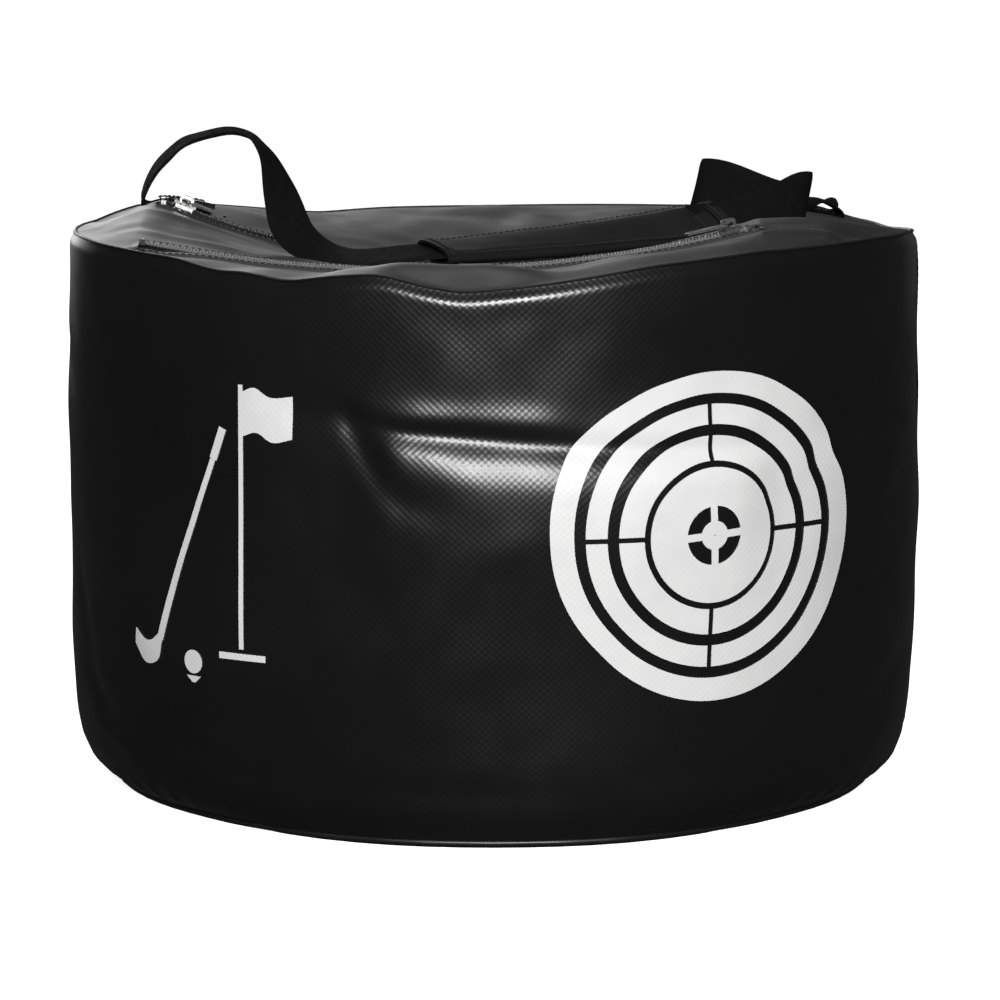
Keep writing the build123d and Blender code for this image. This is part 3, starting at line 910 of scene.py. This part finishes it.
# pole, flag, ground line, shaft, grip, club head, ball, tee
flag_top = spline([(19.5, 64), (26, 66), (34, 62), (45, 63)], 8)
flag_low = spline([(19.5, 44), (27, 46), (35, 42), (45, 44)], 8)
head_top = spline([(-33, -50), (-39, -54), (-45, -54), (-51, -50)], 6)
head_low = spline([(-31.4, -54), (-35, -63), (-45, -65), (-52, -57)], 6)
icon = [
    icon_patch([(17.2, 67), (17.2, -52)], [(19.5, 67), (19.5, -52)], 70, 3),
    icon_patch(flag_top, flag_low, 26, 14),
    icon_patch([(6, -54), (31, -54)], [(6, -57), (31, -57)], 14, 3),
    icon_patch([(1.0, 33), (-33.6, -50.5)], [(3.6, 32), (-30.6, -53.5)], 70, 3),
    icon_patch([(6.4, 47.5), (0.6, 33.4)], [(10.2, 46), (4.4, 31.8)], 12, 4),
    icon_patch(head_top, head_low, 20, 8),
    icon_disc(-10, -60.5, 5.4),
    icon_patch([(-14.5, -67), (-5.5, -67)], [(-11.0, -70), (-9.0, -70)], 6, 3),
]
film("club_icon", icon, "print_club")


# ---- carry strap: ribbons given by their two edges
WEB_T = 1.8
WEB_HALF_W = 15  # for the weave's coordinates
BLUR = 12  # rows on each side that the ribbon is softened over


def ribbon(name, edges, per_span=9):
    """Webbing through rows of (edge, edge) points, with a rounded closed section."""
    rows = spline(np.array(edges, float).reshape(len(edges), 6), per_span)
    near = gauss(np.arange(-BLUR, BLUR + 1) / 5.5)
    padded = np.concatenate([np.repeat(rows[:1], BLUR, 0), rows, np.repeat(rows[-1:], BLUR, 0)])
    soft = np.stack([np.convolve(padded[:, k], near / near.sum(), "valid") for k in range(6)], 1)
    from_end = np.minimum(np.arange(len(rows)), np.arange(len(rows))[::-1])
    ease = np.minimum(1, from_end / BLUR)[:, None]
    rows = rows * (1 - ease) + soft * ease
    a, b = rows[:, :3], rows[:, 3:]
    middle = (a + b) / 2
    along = np.gradient(middle, axis=0)
    along /= np.linalg.norm(along, axis=1)[:, None]
    wide = b - a
    wide -= along * np.sum(wide * along, 1)[:, None]
    width = np.linalg.norm(wide, axis=1)[:, None]
    wide /= width
    normal = np.cross(along, wide)
    t = np.linspace(-1, 1, 15)
    height = WEB_T / 2 * np.sqrt(np.maximum(1 - np.abs(t) ** 8, 0.12))
    run = np.concatenate([[0], np.cumsum(np.linalg.norm(np.diff(middle, axis=0), axis=1))])
    flat = middle[:, None] + wide[:, None] * (width / 2 * t[None])[..., None]
    lift = normal[:, None] * height[None, :, None]
    uv = np.stack(np.broadcast_arrays(run[:, None], t[None] * WEB_HALF_W), -1)
    obj = shell(name, flat + lift, flat - lift, uv)
    mesh_clean(obj)
    return obj


def flat_end(x, low_y=70, high_y=99, lift=1.0):
    """Edge points of webbing that lies on the top, or lift above it."""
    z = [float(skin_z(np.array(float(x)), np.array(float(y)))) + lift for y in (high_y, low_y)]
    return ((x, high_y, z[0]), (x, low_y, z[1]))


LEFT_EDGES = [
    flat_end(-138), flat_end(-146), flat_end(-156), flat_end(-164),
    ((-172, 99.5, 264.5), (-172, 70, 264.5)), ((-174, 98.5, 269), (-171, 69, 270)),
    ((-171.5, 95.5, 277), (-166, 66.5, 279)), ((-167.5, 91, 284), (-160, 63, 286)),
    ((-162, 86, 290), (-153, 58, 292)), ((-155, 78, 296), (-145, 50, 298)),
    ((-144, 67, 301), (-131, 41, 302)),
    ((-132, 54, 305), (-120, 29, 303)), ((-121, 42, 305), (-113, 15, 300)), ((-114, 32, 302), (-110, 4, 297)),
    ((-105, 20, 297), (-107, -6, 289)), ((-97, 12, 287), (-107, -13, 278)), ((-91, 4, 275), (-106, -21, 268)),
    ((-87, -5, 264), (-103, -29, 258)), ((-79, -17, 256), (-93, -42, 250)),
    ((-67, -31, 252.5), (-76, -58, 247)), ((-50, -46, 255.5), (-54, -74, 249)),
    ((-36, -55, 257), (-38, -84, 252)), ((-18, -56, 259), (-22, -86, 254)),
]
RIGHT_EDGES = [
    ((92, -8, 271), (96, -26, 262)), ((106, -4, 272.5), (108, -18, 256)), ((123, -2, 277), (124, -11, 253.5)),
    ((136, 5, 281), (135, -3, 252.5)), ((146, 12, 286.5), (143, 5, 253)), ((153, 19, 286), (147, 12, 254)),
    ((151, 26, 282), (144, 20, 255)), ((141, 32, 279), (138, 26, 254)), ((127, 38, 284), (127, 33, 256)),
    ((111, 43, 290), (112, 38, 262)), ((101, 48, 290), (95, 44, 265)), ((103, 55, 287), (97, 52, 263)),
    ((114, 62, 281), (111, 58, 256)), ((130, 70, 277), (127, 62, 252.5)), ((146, 80, 273), (143, 66, 254)),
    flat_end(157, 67, 91, 7), flat_end(165, 69, 96, 5), flat_end(169, 70, 99, 3),
    flat_end(166), flat_end(158), flat_end(148), flat_end(138),
]


def strap(side, edges):
    """One strap's webbing through the given edges, tied to no body, so it stays where it is built."""
    obj = ribbon(f"strap_{side}_webbing", edges)
    dress(obj, "webbing", body=None, replaces=[f"strap_{side}", f"anchor_patch_{side}"])
    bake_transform(obj)


strap("left", LEFT_EDGES)
strap("right", RIGHT_EDGES)


def box_stitches(name, x0, x1, node):
    """A stitched box with a cross in it, through the strap's flat end."""
    pile = Pile()
    y0, y1 = 73.5, 96.5
    corners = [(x0, y0), (x1, y0), (x1, y1), (x0, y1)]
    for a, b in [(0, 1), (1, 2), (2, 3), (3, 0), (0, 2), (1, 3)]:
        line = resample([corners[a], corners[b]], 1.0)
        z = skin_z(line[:, 0], line[:, 1]) + 2.1
        stitch_row(pile, np.column_stack([line, z]), 3.0, 0.42)
    dress(pile.mesh(name), "thread", replaces=[node])


box_stitches("anchor_stitches_left", -164, -143, "anchor_stitching_left")
box_stitches("anchor_stitches_right", 143, 164, "anchor_stitching_right")

# ---- wrapped grip
GRIP_A = np.array([-27.0, -72.0, 254.8])
GRIP_B = np.array([108.0, -12.0, 265.0])
GRIP_TILT = (math.radians(6.0), math.radians(21.0))
GRIP_HALF, GRIP_DEEP, GRIP_SAG = 17.0, 3.6, 1.6
LAP = 0.8  # the wrap's overlapping edge


def grip_frame(tilt):
    along = GRIP_B - GRIP_A
    length = np.linalg.norm(along)
    along = along / length
    across = np.cross((0, 0, 1.0), along)
    across /= np.linalg.norm(across)
    level = np.cross(along, across)
    cos, sin = np.cos(tilt)[..., None], np.sin(tilt)[..., None]
    return along, across * cos + level * sin, level * cos - across * sin, length


ALONG, _, _, GRIP_LENGTH = grip_frame(np.array(0.0))


def grip_skin(run, turn, grow=0.0):
    """A point of the grip's wrap; turn goes round its flat section from the lower edge."""
    flat = np.sign(np.cos(turn)) * np.abs(np.cos(turn)) ** 0.75
    thick = np.sign(np.sin(turn)) * np.abs(np.sin(turn)) ** 0.85
    share = run / GRIP_LENGTH
    _, wide, up, _ = grip_frame(GRIP_TILT[0] + (GRIP_TILT[1] - GRIP_TILT[0]) * share)
    sag = -GRIP_SAG * np.sin(math.pi * share)
    wrinkle = 0.35 * np.sin(run / 5.1 + 2 * np.sin(turn)) * np.sin(run / 17 + 1)
    half = GRIP_HALF + grow + 0.5 * np.sin(run / 23 + 0.7)
    deep = GRIP_DEEP + grow + wrinkle + 0.5 * np.sin(run / 31)
    core = GRIP_A + ALONG * run[..., None] + np.array([0, 0, 1.0]) * sag[..., None]
    return core - wide * (half * flat)[..., None] + up * (deep * thick)[..., None]


def wrap(name, run0, run1, grow, replaces, steps):
    """A closed sleeve of cloth round the grip, from run0 to run1 along it."""
    run = np.linspace(run0, run1, steps)
    turn = np.linspace(0, math.tau, 48, endpoint=False)
    gr, gt = np.meshgrid(run, turn, indexing="ij")
    lap = LAP * smooth((gt - 0.42) / 0.1) * smooth((1.25 - gt) / 0.5) if grow == 0 else 0
    outside = grip_skin(gr, gt, grow + lap)
    inside = grip_skin(gr, gt, grow - 1.4)
    rows, cols = outside.shape[:2]
    count = rows * cols
    faces = grid_faces(rows, cols, False, True)
    faces += [tuple(count + v for v in reversed(f)) for f in faces]
    for j in range(cols):
        k = (j + 1) % cols
        faces.append((j, k, count + k, count + j))
        a, b = (rows - 1) * cols + j, (rows - 1) * cols + k
        faces.append((a, count + a, count + b, b))
    uv = np.stack([gr, gt * 7], -1).reshape(-1, 2)
    points = np.concatenate([outside.reshape(-1, 3), inside.reshape(-1, 3)])
    obj = add_mesh(name, points, faces, np.concatenate([uv, uv]))
    mesh_clean(obj)
    dress(obj, "grip_cloth", "handle", replaces)


BAND_GROW = 0.9
wrap("grip_wrap", 2, GRIP_LENGTH - 2, 0, ["grip_sleeve", "grip_webbing_core"], 130)
wrap("grip_end_band_left", -1, 4.5, BAND_GROW, ["grip_hem_left"], 8)
wrap("grip_end_band_right", GRIP_LENGTH - 5.5, GRIP_LENGTH + 1, BAND_GROW, ["grip_hem_right"], 8)
grip_threads = Pile()
run = np.linspace(7, GRIP_LENGTH - 7, 120)
for turn in (0.62, 2.75):
    stitch_row(grip_threads, grip_skin(run, 0 * run + turn, 0.9), 3.0, 0.36)
side_turn = np.linspace(0.5, 2.8, 40)
for at, grow in ((2, 1.1), (GRIP_LENGTH - 3, 1.1), (GRIP_LENGTH - 14, 0.25)):
    stitch_row(grip_threads, grip_skin(0 * side_turn + at, side_turn, grow), 2.8, 0.36)
dress(grip_threads.mesh("grip_stitches"), "thread", "handle")


# ---- stuffing, folded towelling inside the drum
def pad(index):
    low, high = box_mm(f"stuffing_pad_{index}")
    radius = (high[0] - low[0]) / 2 - 2
    turn = np.linspace(-math.pi / 2, math.pi / 2, 22)
    az, t = np.meshgrid(np.radians(np.arange(0, 360, 4)), turn, indexing="ij")
    r = radius * np.clip(np.abs(np.cos(t)) ** 0.22, 0.02, 1) * (1 + 0.008 * np.sin(5 * az + index))
    z = (low[2] + high[2]) / 2 + (high[2] - low[2]) / 2 * 0.93 * np.sign(t) * np.abs(np.sin(t)) ** 0.6
    z = z + 0.8 * np.sin(r / 21 + index) * np.cos(3 * az) * gauss((r - radius * 0.5) / 60)
    grid = np.stack([r * np.sin(az), -r * np.cos(az), z], -1)
    rows, cols = grid.shape[:2]
    faces = grid_faces(rows, cols, True)
    faces.append(tuple(i * cols for i in range(rows)))
    faces.append(tuple(i * cols + cols - 1 for i in reversed(range(rows))))
    obj = add_mesh(f"stuffing_{index}", grid.reshape(-1, 3), faces, grid[..., :2].reshape(-1, 2))
    mesh_clean(obj)
    dress(obj, "stuffing", replaces=[f"stuffing_pad_{index}"])


for pad_index in range(1, 6):
    pad(pad_index)


# ---- floor, light, camera
scene = bpy.context.scene
FAR = 30
floor_mesh = bpy.data.meshes.new("floor")
floor_mesh.from_pydata([(-FAR, -FAR, 0), (FAR, -FAR, 0), (FAR, FAR, 0), (-FAR, FAR, 0)], [], [(0, 1, 2, 3)])
floor = bpy.data.objects.new("floor", floor_mesh)
scene.collection.objects.link(floor)
# the floor is a lit white table: bright to the camera, kept out of the cloth's light
floor_paint = noded("floor_paint", (0.9, 0.9, 0.9), 0.9, Emission_Color=(1, 1, 1, 1), Emission_Strength=0.82)
floor.data.materials.append(floor_paint)
floor.visible_glossy = floor.visible_diffuse = False


def softbox(name, place, aim, size, power):
    """An area light in metres and watts, which the camera does not see."""
    data = bpy.data.lights.new(name, "AREA")
    data.shape, data.size, data.size_y, data.energy = "RECTANGLE", size[0], size[1], power
    lamp = bpy.data.objects.new(name, data)
    lamp.location = place
    lamp.rotation_euler = (Vector(aim) - Vector(place)).to_track_quat("-Z", "Y").to_euler()
    scene.collection.objects.link(lamp)
    lamp.visible_camera = False


softbox("key_over_camera", (0.1, -2.2, 0.97), (0, -0.2, 0.17), (1.35, 0.56), 84)
softbox("back_left", (-0.85, 2.6, 0.95), (-0.1, 0, 0.25), (1.3, 1.5), 15)
softbox("back_middle", (0.0, 2.6, 0.95), (0, 0, 0.25), (0.4, 1.5), 0.8)
softbox("strip_left", (-1.0, 2.3, 0.55), (-0.2, 0, 0.15), (0.4, 1.1), 0.8)
softbox("strip_right", (1.1, 2.3, 0.55), (0.2, 0, 0.15), (0.3, 1.1), 0.15)
softbox("overhead", (-0.1, 0.7, 2.4), (0, 0, 0.2), (1.6, 1.4), 10)

# the world fills the shadows, and is darker where the glossy cloth mirrors it
FILL, MIRRORED = 0.22, 0.035
world = bpy.data.worlds.new("studio")
scene.world = world
world.use_nodes = True
tree = world.node_tree
seen = tree.nodes.new("ShaderNodeLightPath")
pick = tree.nodes.new("ShaderNodeMix")
pick.data_type = "RGBA"
pick.inputs[6].default_value = (FILL, FILL, FILL, 1)
pick.inputs[7].default_value = (MIRRORED, MIRRORED, MIRRORED, 1)
tree.links.new(seen.outputs["Is Glossy Ray"], pick.inputs[0])
tree.links.new(pick.outputs[2], tree.nodes["Background"].inputs["Color"])

camera_data = bpy.data.cameras.new("camera")
camera_data.lens = 178.4
camera_data.clip_end = 100
camera = bpy.data.objects.new("camera", camera_data)
camera.location = (0.0031, -2.350, 0.460)
LOOK_DOWN = 8
camera.rotation_euler = (math.radians(90 - LOOK_DOWN), 0, 0)
scene.collection.objects.link(camera)
scene.camera = camera
scene.view_settings.view_transform = "Standard"
